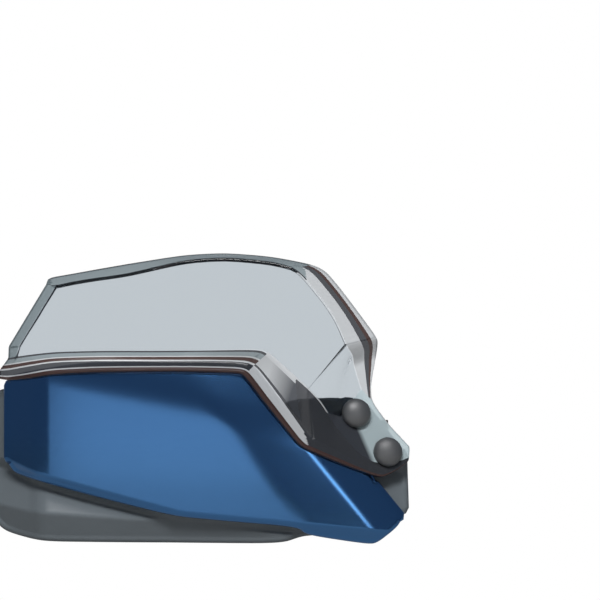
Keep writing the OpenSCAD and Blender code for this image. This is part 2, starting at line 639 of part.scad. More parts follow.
module mounting_arm() {
    middle = (upper_bolt + lower_bolt) / 2;
    color([0.3, 0.31, 0.32]) difference() {
        union() {
            clamp_half(-1);
            for (p = [upper_bolt, lower_bolt]) on_ear(p) translate([0, 0, -plate_back])
                cylinder(r = plate_r, h = plate_t);
            on_ear(upper_bolt) rotate(bolt_turn) translate([0, -plate_side, -plate_back])
                cube([norm(bolt_span), 2 * plate_side, plate_t]);
            hull() {
                on_ear(middle) translate([-web_t, -web_t / 2, -plate_back - web_sink])
                    cube([2 * web_t, web_t, 2 * web_sink]);
                translate([-web_t / 2, -bar_r - clamp_wall, -web_t]) cube([web_t, 2 * web_sink, 2 * web_t]);
            }
        }
        for (p = [upper_bolt, lower_bolt]) on_ear(p) translate([0, 0, -plate_back - nut_room]) {
            cylinder(r = bolt_r + bolt_gap, h = nut_room + plate_t + past);
            cylinder(r = nut_flats / 2 + nut_rim + bolt_gap, h = nut_room);
        }
        for (s = [-1, 1]) translate([0, 0, s * screw_z]) rotate([90, 0, 0])
            cylinder(r = clamp_screw_r, h = clamp_ear_d + past);
    }
}

module clamp_cap() {
    color([0.3, 0.31, 0.32]) difference() {
        clamp_half(1);
        for (s = [-1, 1]) translate([0, 0, s * screw_z]) rotate([-90, 0, 0]) {
            cylinder(r = clamp_screw_r + bolt_gap, h = clamp_ear_d + past);
            translate([0, 0, clamp_ear_d]) cylinder(r = clamp_head_r + bolt_gap, h = bar_r + clamp_wall);
        }
    }
}

// Socket screw with its head's seat at the origin and its shank along -Z
module socket_screw(r, length, head_r, head_h) {
    difference() {
        union() {
            translate([0, 0, -length]) cylinder(r = r, h = length);
            cylinder(r = head_r, h = head_h);
        }
        translate([0, 0, head_h / 2]) cylinder(r = head_r * socket_share, h = head_h, $fn = 6);
    }
}
module clamp_screws() {
    color("silver") for (s = [-1, 1]) translate([0, clamp_ear_d, s * screw_z]) rotate([-90, 0, 0])
        socket_screw(clamp_screw_r, 2 * clamp_ear_d - screw_play, clamp_head_r, 2 * clamp_screw_r);
}
module cover_screws() {
    color("silver") for (p = cover_screw_places) translate([p.x, screw_seat(p), p.y]) rotate([-90, 0, 0])
        socket_screw(cover_screw_r, screw_seat(p) - screw_tip(p) - screw_play,
            seat_r - seat_rim, screw_head_h);
}

module bar_end_washer() {
    color("silver") translate([-shell_reach, 0, 0]) rotate([0, -90, 0]) difference() {
        cylinder(r1 = weight_r - washer_rim, r2 = weight_r - washer_rim - washer_chamfer, h = washer_t);
        translate([0, 0, -past]) cylinder(r = end_bolt_r + bolt_gap, h = washer_t + 2 * past);
    }
}
module bar_end_bolt() {
    color("silver") translate([-shell_reach - washer_t, 0, 0]) rotate([0, -90, 0])
        socket_screw(end_bolt_r, shell_reach + washer_t - bar_end + sleeve_l + expander_l - screw_play,
            end_bolt_head_r, end_bolt_head_h);
}
module bar_end_weight() {
    middle = weight_l / 2;
    color([0.2, 0.2, 0.2]) translate([-shell_reach + base_wall, 0, 0]) rotate([0, 90, 0]) difference() {
        rotate_extrude() polygon([
            [0, 0], [weight_r - weight_edge, 0], [weight_r, weight_edge],
            [weight_r, middle - weight_edge - weight_groove],
            [weight_r - weight_edge, middle - weight_groove],
            [weight_r - weight_edge, middle + weight_groove],
            [weight_r, middle + weight_edge + weight_groove],
            [weight_r, weight_l - 3 * weight_edge], [weight_r - 3 * weight_edge, weight_l], [0, weight_l]]);
        translate([0, 0, -past]) cylinder(r = end_bolt_r + bolt_gap, h = weight_l + 2 * past);
    }
}
module expander_sleeve() {
    color([0.08, 0.08, 0.08]) translate([-bar_end, 0, 0]) rotate([0, 90, 0]) difference() {
        cylinder(r = bar_bore_r - sleeve_gap, h = sleeve_l);
        translate([0, 0, -past]) cylinder(r = end_bolt_r + bolt_gap, h = sleeve_l + 2 * past);
    }
}
module expander_nut() {
    color("silver") translate([-bar_end + sleeve_l, 0, 0]) rotate([0, 90, 0]) difference() {
        cylinder(r1 = bar_bore_r - sleeve_gap - nut_taper, r2 = bar_bore_r - sleeve_gap, h = expander_l);
        translate([0, 0, -past]) cylinder(r = end_bolt_r, h = expander_l + 2 * past);
    }
}

base_shell();
painted_cover();
wind_deflector();
cap_cup_upper();
cap_cup_lower();
dome_cap_upper();
dome_cap_lower();
deflector_bolt_upper();
deflector_bolt_lower();
tab_spacer_upper();
tab_spacer_lower();
lock_nut_upper();
lock_nut_lower();
mounting_arm();
clamp_cap();
clamp_screws();
cover_screws();
bar_end_washer();
bar_end_bolt();
bar_end_weight();
expander_sleeve();
expander_nut();
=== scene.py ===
"""Motorcycle hand guard with a clear wind deflector: its visible shells, finishes and studio."""
import math

import bpy
import numpy as np
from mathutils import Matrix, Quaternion, Vector


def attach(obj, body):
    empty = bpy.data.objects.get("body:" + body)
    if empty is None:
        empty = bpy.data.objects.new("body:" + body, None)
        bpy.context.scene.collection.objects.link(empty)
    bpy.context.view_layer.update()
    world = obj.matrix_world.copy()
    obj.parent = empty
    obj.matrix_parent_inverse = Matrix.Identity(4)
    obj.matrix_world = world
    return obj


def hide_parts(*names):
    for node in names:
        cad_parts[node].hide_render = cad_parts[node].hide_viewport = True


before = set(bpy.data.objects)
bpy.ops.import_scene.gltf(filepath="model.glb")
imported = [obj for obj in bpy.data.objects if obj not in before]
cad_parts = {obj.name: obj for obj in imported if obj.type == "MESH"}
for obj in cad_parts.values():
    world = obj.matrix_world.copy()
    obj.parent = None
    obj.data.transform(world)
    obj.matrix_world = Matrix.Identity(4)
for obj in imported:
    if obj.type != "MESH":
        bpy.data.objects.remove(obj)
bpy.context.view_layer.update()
MM = 0.001

# Shape of the guard's face, in millimetres: X along the bar, Z up, depth ahead of the bar.
# Its radii in plan and upright, where it stands furthest ahead, and where it wraps round outboard
FACE_DEPTH = 100.5
PLAN_R = 750
CROWN_R = 500
CROWN_X = -90
WRAP_X = -227
# Slopes that are added beyond each crease and bevel
WRAP_SLOPE = 1
UPPER_SLOPE = 0.16
INBOARD_SLOPE = 0.14
CHEEK_SLOPE = 0.24
BROW_SLOPE = 0.5
CHIN_SLOPE = 1.1
PANEL_WRAP = 0.35
# Half-widths of the bends at them
FACET_ROUND = 13
INBOARD_ROUND = 7
CREASE_ROUND = 3
BEVEL_ROUND = 2
EDGE_ROUND = 1
# Height of the brow, width of each side of the groove below it, and the lines of creases and bevels
BROW_Z = 56
GROOVE_W = 8
UPPER_CREASE = ((-203, 54.4), (-110, 30.6))
INBOARD_CREASE = ((-102.7, 27.2), (-48.3, -45.6))
CHEEK_CREASE = ((-39.8, 0), (0.4, -51))
BROW_DIAGONAL = ((-85.7, 54.4), (-48.3, 6.8))
BROW_FOOT = ((-48.3, 6.8), (0.4, -13.6))
CHIN_LINE = ((-250, -3), (-229, -12), (-196, -21), (-130, -38.8), (-45.5, -46.7), (30, -54))
GAP_LINE = ((-266, -7), (-250, -11), (-231, -20), (-196, -30), (-136, -44.5), (-110, -47),
            (30, -60))
LEDGE_LINE = ((-266, -32), (-232, -39), (-165, -43.5), (-131, -44.5), (-74, -53), (-40, -58),
              (30, -64))

# Base shell and cover: the shell's face lies behind the cover's, and steps out below the gap line
NEST = 6.5
LEDGE_SLOPE = 0.7
KEEL_SLOPE = 1.2
KEEL_ROUND = 1.5
BASE_WALL = 3
BASE_RETURN = 9
BASE_EDGE_R = 4
SHELL_REACH = 266.5
LUG_R = 17
LUG_BLEND_X = 232
LUG_RINGS = 12
COVER_WALL = 2.2
COVER_EDGE_R = 3
COVER_RETURN = 1.5

# Deflector: its flange on the cover, its panel set back and leaning, and the two steps of its rim
SHEET_T = 3
FLANGE_GAP = 0.9
SET_BACK = 8.5
LEAN = 0.18
FOLD_Z = 71
RIM_BACK = 5
LIP_BACK = 6
# The base shell's ear, which carries the deflector's tab on spacers: a plane through a point
EAR_DEPTH = 63.5
EAR_SLOPE = (-0.3, -0.28)
EAR_AT = (-11.7, 27.4)
EAR_ROUND = 2
SPACER_L = 11
# From the CAD's places of the bolts to the photo's, and the depths where the arm takes this up
BOLT_SHIFT = (-3.45, -1.96, -3.3)
ARM_BEND = (15, 45)

# Outlines from the outboard end to the inboard one: lower and upper point of each station
COVER_STATIONS = (
    ((-252, -6), (-252, 50.5)),
    ((-247.5, -13), (-247.5, 54)),
    ((-231.5, -17.5), (-228, 58)),
    ((-196, -27), (-200, 62)),
    ((-136, -41.5), (-150, 63)),
    ((-110, -44), (-87, 63)),
    ((-49, -49), (-79, 60)),
    ((-43.5, -54.5), (-47, 18)),
    ((1.5, -61.5), (-28.5, 5.5)),
    ((7.5, -59.5), (-3, -7.5)),
    ((20, -49.5), (2.5, -12.5)),
    ((23, -45), (6, -18)),
)
BASE_STATIONS = (
    ((-SHELL_REACH, -28), (-SHELL_REACH, 38)),
    ((-263.5, -45), (-262.5, 42.5)),
    ((-255, -53.5), (-251, 46)),
    ((-229, -59.5), (-228, 52)),
    ((-180, -60), (-198, 56)),
    ((-120, -60.3), (-150, 57)),
    ((-60, -60.5), (-88, 56.5)),
    ((-44, -55), (-62, 34)),
    ((-20, -54.5), (-48, 38)),
    ((1, -55.5), (-14, 39)),
    ((12, -52), (-1, 36)),
    ((20, -46), (12, 19.5)),
    ((25.5, -41), (24.5, 3)),
)
# Cut line, foot and fold of the step, inner and outer line of the rim, share of the tab's plane
SHEET_STATIONS = (
    ((-255.5, 51.5), (-255, 57), (-248.5, 65.5), (-222.5, 116), (-221.5, 119.5), 0),
    ((-248.5, 50.5), (-248.5, 57.5), (-244, 66.5), (-216, 115), (-218.5, 121), 0),
    ((-236.5, 52), (-235, 60), (-230, 68.5), (-205, 117.5), (-205.5, 123.2), 0),
    ((-219, 55.5), (-218, 63), (-215, 70), (-190, 120), (-190, 126), 0),
    ((-187.5, 57.5), (-186.5, 64), (-185, 70.8), (-167, 123), (-167, 130), 0),
    ((-151, 58), (-151, 64), (-150, 70.8), (-128, 132.5), (-128, 136.2), 0),
    ((-120, 58), (-119, 64), (-117, 71), (-100, 134.5), (-100, 137.6), 0),
    ((-90, 57), (-87.5, 63.5), (-76.5, 71.5), (-68, 131.5), (-68, 135.1), 0),
    ((-85.5, 54.5), (-79, 60.5), (-70.5, 68.5), (-51, 126.5), (-34, 128.3), 0),
    ((-74, 39), (-67, 45), (-57, 56.5), (-32, 103.5), (-20.7, 112.4), 0),
    ((-62, 24), (-56, 30), (-49, 49.5), (-24, 91), (-8, 95.5), 0),
    ((-48.5, 7), (-42, 10), (-43.5, 44.5), (-17, 74), (4, 79), 0),
    ((-38.5, 2.5), (-35, 8), (-35, 35.5), (-13, 68), (4, 74), 0.5),
    ((-28, -2), (-26, 4), (-27, 22), (-12.5, 62), (3, 67), 1),
    ((-12, -8.5), (-11, -4), (-10.5, 2), (-5, 38), (-0.5, 48), 1),
    ((0.5, -13.5), (1, -9.5), (1.5, -5.5), (-1.5, 24), (-0.3, 36.5), 1),
    ((7.5, -15), (8.5, -11.5), (9, -5), (9, 12), (12.2, 19.7), 1),
    ((17.7, -10.2), (18.3, -8), (19, -4.5), (20, 5), (20, 11.5), 1),
    ((24.8, -4.5), (25.2, -3.5), (25.4, -2), (25.8, 3), (25.6, 5.4), 1),
)
# Places of the knee between fold and rim, and of the lip across the rim
KNEE_SHARE = 0.16
LIP_SHARE = 0.47
# Kink of the outboard side at the knee, and the stations over which it fades
SIDE_KINK = 4
KINK_STATIONS = 2

# Mesh density: subdivisions between two stations, their refinement, and rows across a shell
ALONG = 4
REFINE = 4
ACROSS = 110
SMOOTH_PASSES = 2
# Steps of a rounded edge, and the steepest angle at which it starts
EDGE_STEPS = 6
EDGE_START_MAX = 0.5
# Length over which a slope is measured, and what counts as touching
SLOPE_STEP = 0.5
NEAR = 0.01


# Functions of the shape
def hinge(t, k):
    """Zero before 0 and t after it, with a bend that starts and ends at a distance k."""
    return np.where(t <= -k, 0, np.where(t >= k, t, (t + k) ** 2 / (4 * k)))


def soft_min(a, b, k):
    """The smaller of two depths, with a bend where they meet."""
    return np.minimum(a, b) - np.maximum(0, k - np.abs(a - b)) ** 2 / (4 * k)


def above(line, x, z):
    """Distance of a point to the left of a line."""
    (ax, az), (bx, bz) = line
    return ((bx - ax) * (z - az) - (bz - az) * (x - ax)) / math.hypot(bx - ax, bz - az)


def lookup(x, line):
    """Height of a line at X."""
    return np.interp(x, [p[0] for p in line], [p[1] for p in line])


def face(x, z):
    """Depth of the guard's face, with its wrap and its three creases."""
    return (FACE_DEPTH - (x - CROWN_X) ** 2 / (2 * PLAN_R) - z * z / (2 * CROWN_R)
            - WRAP_SLOPE * hinge(WRAP_X - x, FACET_ROUND / 2)
            - UPPER_SLOPE * hinge(above(UPPER_CREASE, x, z), FACET_ROUND)
            - INBOARD_SLOPE * hinge(above(INBOARD_CREASE, x, z), INBOARD_ROUND)
            - CHEEK_SLOPE * hinge(above(CHEEK_CREASE, x, z), CREASE_ROUND))


def past_brow(x, z):
    """Distance beyond the brow, which runs along the top and down the inboard side."""
    diagonal, foot = above(BROW_DIAGONAL, x, z), above(BROW_FOOT, x, z)
    return np.maximum(z - BROW_Z, np.minimum(diagonal, foot))


def brow(x, z):
    return BROW_SLOPE * hinge(past_brow(x, z), BEVEL_ROUND)


def groove(x, z):
    t = past_brow(x, z)
    return BROW_SLOPE * (hinge(t, BEVEL_ROUND) - 2 * hinge(t - GROOVE_W, EDGE_ROUND)
                         + hinge(t - 2 * GROOVE_W, BEVEL_ROUND))


def chin(x, z):
    return CHIN_SLOPE * hinge(lookup(x, CHIN_LINE) - z, EDGE_ROUND)


def cover_depth(x, z):
    return face(x, z) - brow(x, z) - chin(x, z)


def ear_plane(x, z):
    """Depth of the ear's plane, which the deflector's tab follows."""
    return EAR_DEPTH + EAR_SLOPE[0] * (x - EAR_AT[0]) + EAR_SLOPE[1] * (z - EAR_AT[1])


def stretch(depth, x, z):
    """Depth that a wall of thickness 1 takes up on a surface, because of its slope."""
    dx = (depth(x + SLOPE_STEP, z) - depth(x, z)) / SLOPE_STEP
    dz = (depth(x, z + SLOPE_STEP) - depth(x, z)) / SLOPE_STEP
    return np.sqrt(dx * dx + dz * dz + 1)


def base_depth(x, z):
    shell = (face(x, z) - NEST * stretch(face, x, z) - groove(x, z) - chin(x, z)
             + (CHIN_SLOPE + LEDGE_SLOPE) * hinge(lookup(x, GAP_LINE) - z, EDGE_ROUND)
             - KEEL_SLOPE * hinge(lookup(x, LEDGE_LINE) - z, KEEL_ROUND))
    return soft_min(ear_plane(x, z), shell, EAR_ROUND)


def flange_depth(x, z):
    return cover_depth(x, z) + (FLANGE_GAP + SHEET_T) * stretch(cover_depth, x, z)


def panel_depth(x, z):
    return (FACE_DEPTH - (x - CROWN_X) ** 2 / (2 * PLAN_R) - SET_BACK - LEAN * (z - FOLD_Z)
            - PANEL_WRAP * hinge(WRAP_X - x, FACET_ROUND))


def tab_depth(x, z):
    tilt = math.sqrt(EAR_SLOPE[0] ** 2 + EAR_SLOPE[1] ** 2 + 1)
    return ear_plane(x, z) + (SPACER_L + SHEET_T) * tilt


# Lines and grids
def resample(line):
    """The points of a line with others evenly between them."""
    line = np.asarray(line, float)
    points = [line[i] + (line[i + 1] - line[i]) * k / ALONG
              for i in range(len(line) - 1) for k in range(ALONG)]
    return np.array(points + [line[-1]])


def smooth(line, passes):
    """A line with its corners softened, and its ends kept."""
    line = np.array(line, float)
    for _ in range(passes):
        line[1:-1] = (line[:-2] + 2 * line[1:-1] + line[2:]) / 4
    return line


def refine(line):
    """A curve through the points of a line, with REFINE steps between two of them."""
    p = np.asarray(line, float)
    before = np.concatenate([p[:1] * 2 - p[1:2], p[:-1]])
    after = np.concatenate([p[1:], p[-1:] * 2 - p[-2:-1]])
    slope = (after - before) / 2
    out = []
    for i in range(len(p) - 1):
        for k in range(REFINE):
            t = k / REFINE
            out.append((2 * t ** 3 - 3 * t ** 2 + 1) * p[i] + (t ** 3 - 2 * t ** 2 + t) * slope[i]
                       + (3 * t ** 2 - 2 * t ** 3) * p[i + 1] + (t ** 3 - t ** 2) * slope[i + 1])
    return np.array(out + [p[-1]])


def rail(stations, k):
    """The smooth line through one of the points of each station."""
    return refine(smooth(resample([s[k] for s in stations]), SMOOTH_PASSES))


def inset(line, r):
    """A line moved to its left by a distance, its ends straight up."""
    v = np.empty_like(line)
    v[1:-1] = line[2:] - line[:-2]
    side = np.stack([-v[:, 1], v[:, 0]], 1)
    side[1:-1] *= r / np.linalg.norm(side[1:-1], axis=1)[:, None]
    side[0] = side[-1] = (0, r)
    return line + side


def squeeze(line, r):
    """A line whose ends are moved towards each other, and the points between them in proportion."""
    x0, x1 = line[0, 0], line[-1, 0]
    line[:, 0] = x0 + r + (line[:, 0] - x0) * (x1 - x0 - 2 * r) / (x1 - x0)
    return line


def plan_rows(stations, r):
    """Rows of points from the lower to the upper line of an outline, all a distance within it."""
    low = squeeze(inset(rail(stations, 0), r), r)
    high = squeeze(inset(rail(stations, 1), -r), r)
    t = np.linspace(0, 1, ACROSS + 1)[:, None, None]
    return low[None] * (1 - t) + high[None] * t


def on_surface(rows, depth, wall):
    """The rows in space, on a surface or on the other side of its wall."""
    x, z = rows[..., 0], rows[..., 1]
    return np.stack([x, wall * stretch(depth, x, z) - depth(x, z), z], -1)


def border(grid):
    """The points round a grid, in one loop."""
    return np.concatenate([grid[0, :-1], grid[:-1, -1], grid[-1, :0:-1], grid[:0:-1, 0]])


def loop_normals(loop):
    """Directions out of a loop, square to Y."""
    t = np.roll(loop, -1, 0) - np.roll(loop, 1, 0)
    normals = np.stack([t[:, 2], np.zeros(len(t)), -t[:, 0]], 1)
    return normals / np.linalg.norm(normals, axis=1)[:, None]


def edge_starts(loop, normals, depth):
    """Angle at which a surface reaches its edge, so that the edge's round can go on from it."""
    x, z = loop[:, 0], loop[:, 2]
    fall = depth(x, z) - depth(x + normals[:, 0], z + normals[:, 2])
    return np.clip(np.arctan(fall), 0, EDGE_START_MAX)


def edge_rings(loop, normals, r, back, starts=0):
    """Rings of a rounded edge, which starts at an angle and runs on back, square to the face."""
    starts = np.zeros(len(loop)) + starts
    radius = r / (1 - np.sin(starts))
    rings = []
    for k in range(1, EDGE_STEPS + 1):
        turn = starts + (math.pi / 2 - starts) * k / EDGE_STEPS
        out = radius * (np.sin(turn) - np.sin(starts))
        drop = radius * (np.cos(starts) - np.cos(turn))
        rings.append(loop + normals * out[:, None] + np.stack([0 * drop, drop, 0 * drop], 1))
    return rings + [rings[-1] + np.array([0, back, 0])]


# Meshes
def grid_quads(m, n, start, flip):
    """Faces of a grid with m by n cells, whose points are counted from a start."""
    quads = []
    for j in range(n):
        for i in range(m):
            a = start + j * (m + 1) + i
            quad = (a, a + 1, a + m + 2, a + m + 1)
            quads.append(quad[::-1] if flip else quad)
    return quads


def border_indices(m, n, start):
    """Points round such a grid, in the order of border()."""
    return ([start + i for i in range(m)]
            + [start + j * (m + 1) + m for j in range(n)]
            + [start + n * (m + 1) + m - i for i in range(m)]
            + [start + (n - j) * (m + 1) for j in range(n)])


def ring_quads(p, q, flip):
    """Faces between two rings."""
    count = len(p)
    quads = [(p[i], p[(i + 1) % count], q[(i + 1) % count], q[i]) for i in range(count)]
    return [quad[::-1] for quad in quads] if flip else quads


def link(name, data):
    """A new object in the scene."""
    obj = bpy.data.objects.new(name, data)
    bpy.context.scene.collection.objects.link(obj)
    return obj


def shell_object(name, outer, inner, outer_rings, inner_rings):
    """A closed wall between two grids of points in millimetres, with rings round each grid."""
    n, m = outer.shape[0] - 1, outer.shape[1] - 1
    size = (m + 1) * (n + 1)
    ring_size = 2 * (m + n)
    rings = len(outer_rings)
    grids = [outer.reshape(-1, 3), inner.reshape(-1, 3)]
    points = np.concatenate(grids + outer_rings + inner_rings)

    def ring(side, i):
        if i < 0:
            return border_indices(m, n, side * size)
        start = 2 * size + (side * rings + i) * ring_size
        return list(range(start, start + ring_size))

    faces = grid_quads(m, n, 0, False) + grid_quads(m, n, size, True)
    for i in range(rings):
        faces += ring_quads(ring(0, i - 1), ring(0, i), True)
        faces += ring_quads(ring(1, i - 1), ring(1, i), False)
    faces += ring_quads(ring(0, rings - 1), ring(1, rings - 1), True)
    mesh = bpy.data.meshes.new(name)
    mesh.from_pydata((points * MM).tolist(), [], faces)
    mesh.validate()
    mesh.polygons.foreach_set("use_smooth", [True] * len(mesh.polygons))
    return link(name, mesh)


# Materials: the range that a noise mostly stays in, and how dark the darker clouds are
NOISE_SPREAD = (0.3, 0.7)
METAL_CLOUD = 0.82
ACRYLIC_CLOUD = 0.985
ACRYLIC_IOR = 1.49


def set_inputs(tree, node, inputs):
    """Gives sockets a number, a vector or a colour, or links them to the outputs of other nodes."""
    for name, value in inputs.items():
        socket = node.inputs[name]
        if isinstance(value, bpy.types.NodeSocket):
            tree.links.new(value, socket)
        else:
            socket.default_value = (*value, 1) if socket.type == "RGBA" else value


def add_node(tree, kind, inputs, **settings):
    """A new node with its settings, such as its operation, and its inputs."""
    node = tree.nodes.new(kind)
    for name, value in settings.items():
        setattr(node, name, value)
    set_inputs(tree, node, inputs)
    return node


def coordinates(tree, kind="Object"):
    return tree.nodes.new("ShaderNodeTexCoord").outputs[kind]


def maths(tree, operation, *values):
    inputs = dict(enumerate(values))
    return add_node(tree, "ShaderNodeMath", inputs, operation=operation).outputs[0]


def vector_maths(tree, operation, *vectors):
    inputs = dict(enumerate(vectors))
    return add_node(tree, "ShaderNodeVectorMath", inputs, operation=operation).outputs


def map_range(tree, value, start, end, low=0, high=1, easing="LINEAR"):
    """Maps the range from start to end to the one from low to high."""
    inputs = {"Value": value, "From Min": start, "From Max": end, "To Min": low, "To Max": high}
    return add_node(tree, "ShaderNodeMapRange", inputs, interpolation_type=easing).outputs["Result"]


def colour_mix(tree, share, a, b):
    """From colour a to colour b by a share."""
    inputs = {"Factor": share, "A": a, "B": b}
    return add_node(tree, "ShaderNodeMix", inputs, data_type="RGBA").outputs["Result"]


def noise(tree, scale, detail=3, rough=0.5, stretch_by=None):
    """A noise that is fixed to the object, perhaps drawn out along an axis."""
    place = coordinates(tree)
    if stretch_by is not None:
        mapping = add_node(tree, "ShaderNodeMapping", {"Vector": place, "Scale": stretch_by})
        place = mapping.outputs["Vector"]
    inputs = {"Vector": place, "Scale": scale, "Detail": detail, "Roughness": rough}
    return add_node(tree, "ShaderNodeTexNoise", inputs).outputs["Fac"]


def noise_range(tree, value, low, high):
    """Maps a noise, which rarely leaves the middle of its range, to a range of numbers."""
    return map_range(tree, value, *NOISE_SPREAD, low, high)


def bump(tree, height, strength, distance):
    inputs = {"Height": height, "Strength": strength, "Distance": distance}
    return add_node(tree, "ShaderNodeBump", inputs).outputs["Normal"]


def new_material(name):
    """A new material with its node tree and its shader."""
    mat = bpy.data.materials.new(name)
    mat.use_nodes = True
    return mat, mat.node_tree, mat.node_tree.nodes["Principled BSDF"]


def paint_material():
    """Satin metallic blue paint with fine flakes and the ripple of a sprayed surface."""
    mat, tree, bsdf = new_material("satin_blue_paint")
    flakes = noise(tree, scale=2600, detail=2, rough=0.6)
    drift = noise(tree, scale=9, detail=2)
    ripple = noise(tree, scale=160, detail=2)
    shade = maths(tree, "MULTIPLY_ADD", flakes, 0.75, noise_range(tree, drift, 0, 0.25))
    set_inputs(tree, bsdf, {
        "Base Color": colour_mix(tree, shade, (0.09, 0.25, 0.55), (0.108, 0.29, 0.62)),
        "Metallic": 1,
        "Roughness": noise_range(tree, flakes, 0.16, 0.2),
        "Normal": bump(tree, ripple, strength=0.05, distance=0.0004),
    })
    return mat


def plastic_material(name, dark, light, roughness, grain=1800, depth=0.25, gloss=0.5, ior=1.5):
    """Moulded plastic with a fine grain and soft changes of gloss."""
    mat, tree, bsdf = new_material(name)
    fine = noise(tree, scale=grain, detail=2, rough=0.55)
    broad = noise(tree, scale=22)
    set_inputs(tree, bsdf, {
        "Base Color": colour_mix(tree, broad, dark, light),
        "Roughness": noise_range(tree, broad, roughness - 0.05, roughness + 0.05),
        "Normal": bump(tree, fine, strength=depth, distance=0.00012),
        "Specular IOR Level": gloss,
        "IOR": ior,
    })
    return mat


def metal_material(name, colour, roughness, stretch_by=(1, 1, 1)):
    """Plated or turned metal with darker clouds and fine tool marks."""
    mat, tree, bsdf = new_material(name)
    marks = noise(tree, scale=900, rough=0.6, stretch_by=stretch_by)
    cloud = noise(tree, scale=60)
    darker = tuple(c * METAL_CLOUD for c in colour)
    set_inputs(tree, bsdf, {
        "Base Color": colour_mix(tree, cloud, darker, colour),
        "Metallic": 1,
        "Roughness": noise_range(tree, marks, roughness - 0.06, roughness + 0.08),
        "Normal": bump(tree, marks, strength=0.12, distance=0.0001),
    })
    return mat


def acrylic_material(name, tint, roughness=0.015, transmission=1, fade=None):
    """Thermoformed acrylic: faint waves of the formed sheet, a slight haze in its gloss, and
    perhaps a painted fade between lit and shaded colours, between two places along a direction."""
    mat, tree, bsdf = new_material(name)
    wave = noise(tree, scale=14, detail=2, rough=0.4)
    fine = noise(tree, scale=90)
    colour = colour_mix(tree, wave, tuple(c * ACRYLIC_CLOUD for c in tint), tint)
    if fade is not None:
        direction, start, end, far_tint = fade
        along = vector_maths(tree, "DOT_PRODUCT", coordinates(tree), direction)["Value"]
        colour = colour_mix(tree, map_range(tree, along, start, end), colour, far_tint)
    set_inputs(tree, bsdf, {
        "Base Color": colour,
        "Roughness": noise_range(tree, fine, roughness, roughness + 0.02),
        "Transmission Weight": transmission,
        "IOR": ACRYLIC_IOR,
        "Normal": bump(tree, wave, strength=0.05, distance=0.0006),
    })
    return mat


# Direction, start, end and far colour of the painted fades: from a painted reflection to painted
# shade along the slanting riser, and from painted shade to a painted highlight across the tab
RISER_PAINTED_FADE = ((0.9, 0, -0.3), -0.08, -0.062, (0.05, 0.055, 0.065))
TAB_PAINTED_FADE = ((0.916, 0, 0.401), -0.0028, 0.0004, (0.5, 0.6, 0.63))
MATERIALS = {
    "paint": paint_material(),
    "shell": plastic_material("grained_grey_plastic", (0.118, 0.138, 0.152), (0.14, 0.162, 0.178),
                              roughness=0.42),
    "cap": plastic_material("satin_black_plastic", (0.05, 0.052, 0.055), (0.062, 0.064, 0.067),
                            roughness=0.47, grain=2600, depth=0.12, gloss=1, ior=1.8),
    # Darker than the cap's plastic: a painted shade for the side of the cap's skirt
    "cup": plastic_material("black_plastic", (0.018, 0.018, 0.019), (0.024, 0.024, 0.025),
                            roughness=0.35, grain=2600, depth=0.1),
    "rubber": plastic_material("black_rubber", (0.016, 0.016, 0.016), (0.024, 0.024, 0.024),
                               roughness=0.75, grain=1500, depth=0.3),
    "alloy": plastic_material("coated_alloy", (0.045, 0.047, 0.05), (0.06, 0.062, 0.065),
                              roughness=0.5, grain=1100, depth=0.45),
    "zinc": metal_material("zinc_plated_steel", (0.62, 0.62, 0.6), roughness=0.32),
    "dark_steel": metal_material("blackened_steel", (0.09, 0.09, 0.095), roughness=0.38,
                                 stretch_by=(1, 12, 12)),
    "panel": acrylic_material("smoked_acrylic", (0.56, 0.61, 0.65)),
    "clear": acrylic_material("clear_acrylic", (0.88, 0.9, 0.92), roughness=0.04),
    # The sheet's real smoke tint, made greyer and less clear as a painted shade for the bent rim
    # and the wrapping outboard end
    "smoke_and_shade": acrylic_material("smoked_rim_painted_shade", (0.22, 0.27, 0.29),
                              roughness=0.08, transmission=0.35),
    # A pale, half-clear copy of the sheet: a painted highlight for the bevels and bands that catch
    # the light
    "gloss": acrylic_material("painted_highlight_bevel", (0.57, 0.59, 0.61),
                              roughness=0.12, transmission=0.25),
    "shade": acrylic_material("shaded_bevel", (0.045, 0.048, 0.055),
                              roughness=0.1, transmission=0.3),
    "edge": acrylic_material("cut_edge", (0.06, 0.032, 0.028),
                             roughness=0.25, transmission=0.2),
    # The riser fades from a painted reflection to painted shade, and the tab from painted shade to
    # a painted highlight on its bent border
    "riser": acrylic_material("riser_painted_highlight_to_shade", (0.5, 0.52, 0.54),
                              roughness=0.1, transmission=0.3, fade=RISER_PAINTED_FADE),
    "tab": acrylic_material("tab_painted_shade_to_highlight", (0.05, 0.055, 0.066),
                            roughness=0.12, transmission=0.3, fade=TAB_PAINTED_FADE),
}


# Shells
def painted_cover():
    rows = plan_rows(COVER_STATIONS, COVER_EDGE_R)
    outer = on_surface(rows, cover_depth, 0)
    inner = on_surface(rows, cover_depth, COVER_WALL)
    rim, inner_rim = border(outer), border(inner)
    normals = loop_normals(rim)
    starts = edge_starts(rim, normals, cover_depth)
    inner_r = COVER_EDGE_R - COVER_WALL
    obj = shell_object("cover_skin", outer, inner,
                       edge_rings(rim, normals, COVER_EDGE_R, COVER_RETURN, starts),
                       edge_rings(inner_rim, normals, inner_r, COVER_RETURN, starts))
    obj.data.materials.append(MATERIALS["paint"])
    return obj


def lug_turns(z):
    """Angles round the lug of the points along the bar end's side of the outline."""
    low, high = BASE_STATIONS[0][0][1], BASE_STATIONS[0][1][1]
    return np.radians(np.clip(180 * (z - low) / (high - low) - 90, -90, 90))


